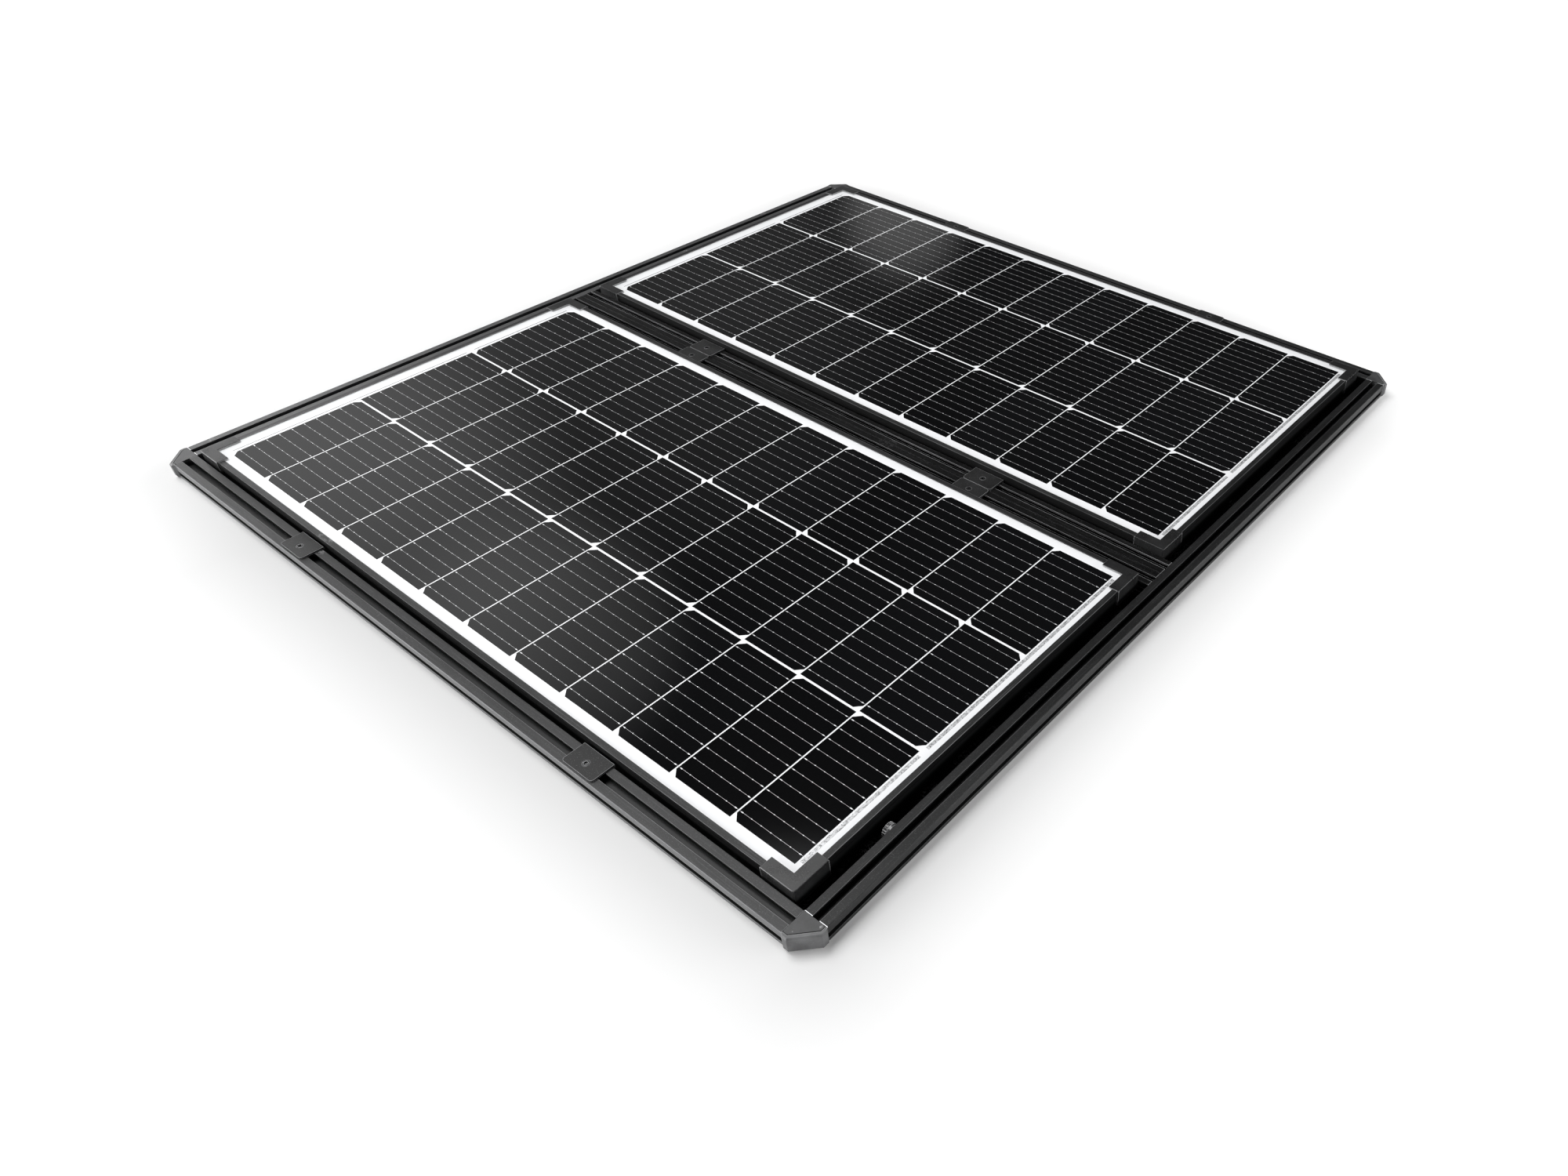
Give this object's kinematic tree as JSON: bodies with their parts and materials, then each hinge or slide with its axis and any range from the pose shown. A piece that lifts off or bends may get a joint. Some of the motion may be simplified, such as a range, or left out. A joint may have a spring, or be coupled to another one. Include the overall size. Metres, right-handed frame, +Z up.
{
  "type": "solar panel",
  "caption": "Flat twin-module solar panel for a camper or expedition roof, two framed glass modules clamped in a slotted black rail frame.",
  "frame": {"origin": "bottom centre of the whole panel, on the plane of the corner castings' feet", "axes": "+Z up, out of the glass; +X along the modules' long side; +Y across the two modules, from the near one to the far one"},
  "size_m": [1.27, 1.332, 0.0363],
  "materials": {
    "black_anodised": "satin black anodised",
    "cast_aluminium": "black powder coat over cast aluminium, lightly scuffed",
    "black_skin": "matte black sheet",
    "clamp_plate": "black coated steel",
    "steel": "blackened steel",
    "module_glass": "glass over black half cells and a white backsheet",
    "black_plastic": "fine-textured black plastic"
  },
  "bodies": {
    "frame": {"side_rail_near": "black_anodised", "side_rail_far": "black_anodised", "end_rail_left": "black_anodised", "end_rail_right": "black_anodised", "centre_rail": "black_anodised", "corner_casting_near_left": "cast_aluminium", "corner_insert_near_left": "cast_aluminium", "corner_casting_near_right": "cast_aluminium", "corner_insert_near_right": "cast_aluminium", "corner_casting_far_left": "cast_aluminium", "corner_insert_far_left": "cast_aluminium", "corner_casting_far_right": "cast_aluminium", "corner_insert_far_right": "cast_aluminium", "skin_panel": "black_skin", "cable_gland": "black_plastic", "gland_nut": "black_plastic"},
    "near_module": {"near_frame_front": "black_anodised", "near_frame_right": "black_anodised", "near_frame_back": "black_anodised", "near_frame_left": "black_anodised", "near_laminate": "module_glass", "near_junction_box": "black_plastic", "near_corner_cap_front_left": "black_plastic", "near_corner_cap_front_right": "black_plastic", "near_corner_cap_back_left": "black_plastic", "near_corner_cap_back_right": "black_plastic"},
    "near_clamp_side_left_set": {"near_clamp_side_left": "clamp_plate", "near_screw_side_left": "steel", "near_t_nut_side_left": "steel"},
    "near_clamp_side_right_set": {"near_clamp_side_right": "clamp_plate", "near_screw_side_right": "steel", "near_t_nut_side_right": "steel"},
    "near_clamp_centre_left_set": {"near_clamp_centre_left": "clamp_plate", "near_screw_centre_left": "steel", "near_t_nut_centre_left": "steel"},
    "near_clamp_centre_right_set": {"near_clamp_centre_right": "clamp_plate", "near_screw_centre_right": "steel", "near_t_nut_centre_right": "steel"},
    "far_module": {"far_frame_front": "black_anodised", "far_frame_right": "black_anodised", "far_frame_back": "black_anodised", "far_frame_left": "black_anodised", "far_laminate": "module_glass", "far_junction_box": "black_plastic", "far_corner_cap_front_left": "black_plastic", "far_corner_cap_front_right": "black_plastic", "far_corner_cap_back_left": "black_plastic", "far_corner_cap_back_right": "black_plastic"},
    "far_clamp_side_left_set": {"far_clamp_side_left": "clamp_plate", "far_screw_side_left": "steel", "far_t_nut_side_left": "steel"},
    "far_clamp_side_right_set": {"far_clamp_side_right": "clamp_plate", "far_screw_side_right": "steel", "far_t_nut_side_right": "steel"},
    "far_clamp_centre_left_set": {"far_clamp_centre_left": "clamp_plate", "far_screw_centre_left": "steel", "far_t_nut_centre_left": "steel"},
    "far_clamp_centre_right_set": {"far_clamp_centre_right": "clamp_plate", "far_screw_centre_right": "steel", "far_t_nut_centre_right": "steel"}
  },
  "joints": [
    {"name": "near_module_slide", "type": "slide", "parent": "frame", "child": "near_module", "axis": [1, 0, 0], "range_m": [-0.014, 0.008]},
    {"name": "near_clamp_side_left_slide", "type": "slide", "parent": "frame", "child": "near_clamp_side_left_set", "axis": [1, 0, 0], "range_m": [-0.2, 0.23]},
    {"name": "near_clamp_side_right_slide", "type": "slide", "parent": "frame", "child": "near_clamp_side_right_set", "axis": [1, 0, 0], "range_m": [-0.23, 0.2]},
    {"name": "near_clamp_centre_left_slide", "type": "slide", "parent": "frame", "child": "near_clamp_centre_left_set", "axis": [1, 0, 0], "range_m": [-0.2, 0.23]},
    {"name": "near_clamp_centre_right_slide", "type": "slide", "parent": "frame", "child": "near_clamp_centre_right_set", "axis": [1, 0, 0], "range_m": [-0.23, 0.2]},
    {"name": "far_module_slide", "type": "slide", "parent": "frame", "child": "far_module", "axis": [1, 0, 0], "range_m": [-0.014, 0.014]},
    {"name": "far_clamp_side_left_slide", "type": "slide", "parent": "frame", "child": "far_clamp_side_left_set", "axis": [1, 0, 0], "range_m": [-0.2, 0.23]},
    {"name": "far_clamp_side_right_slide", "type": "slide", "parent": "frame", "child": "far_clamp_side_right_set", "axis": [1, 0, 0], "range_m": [-0.23, 0.2]},
    {"name": "far_clamp_centre_left_slide", "type": "slide", "parent": "frame", "child": "far_clamp_centre_left_set", "axis": [1, 0, 0], "range_m": [-0.2, 0.23]},
    {"name": "far_clamp_centre_right_slide", "type": "slide", "parent": "frame", "child": "far_clamp_centre_right_set", "axis": [1, 0, 0], "range_m": [-0.23, 0.2]}
  ]
}
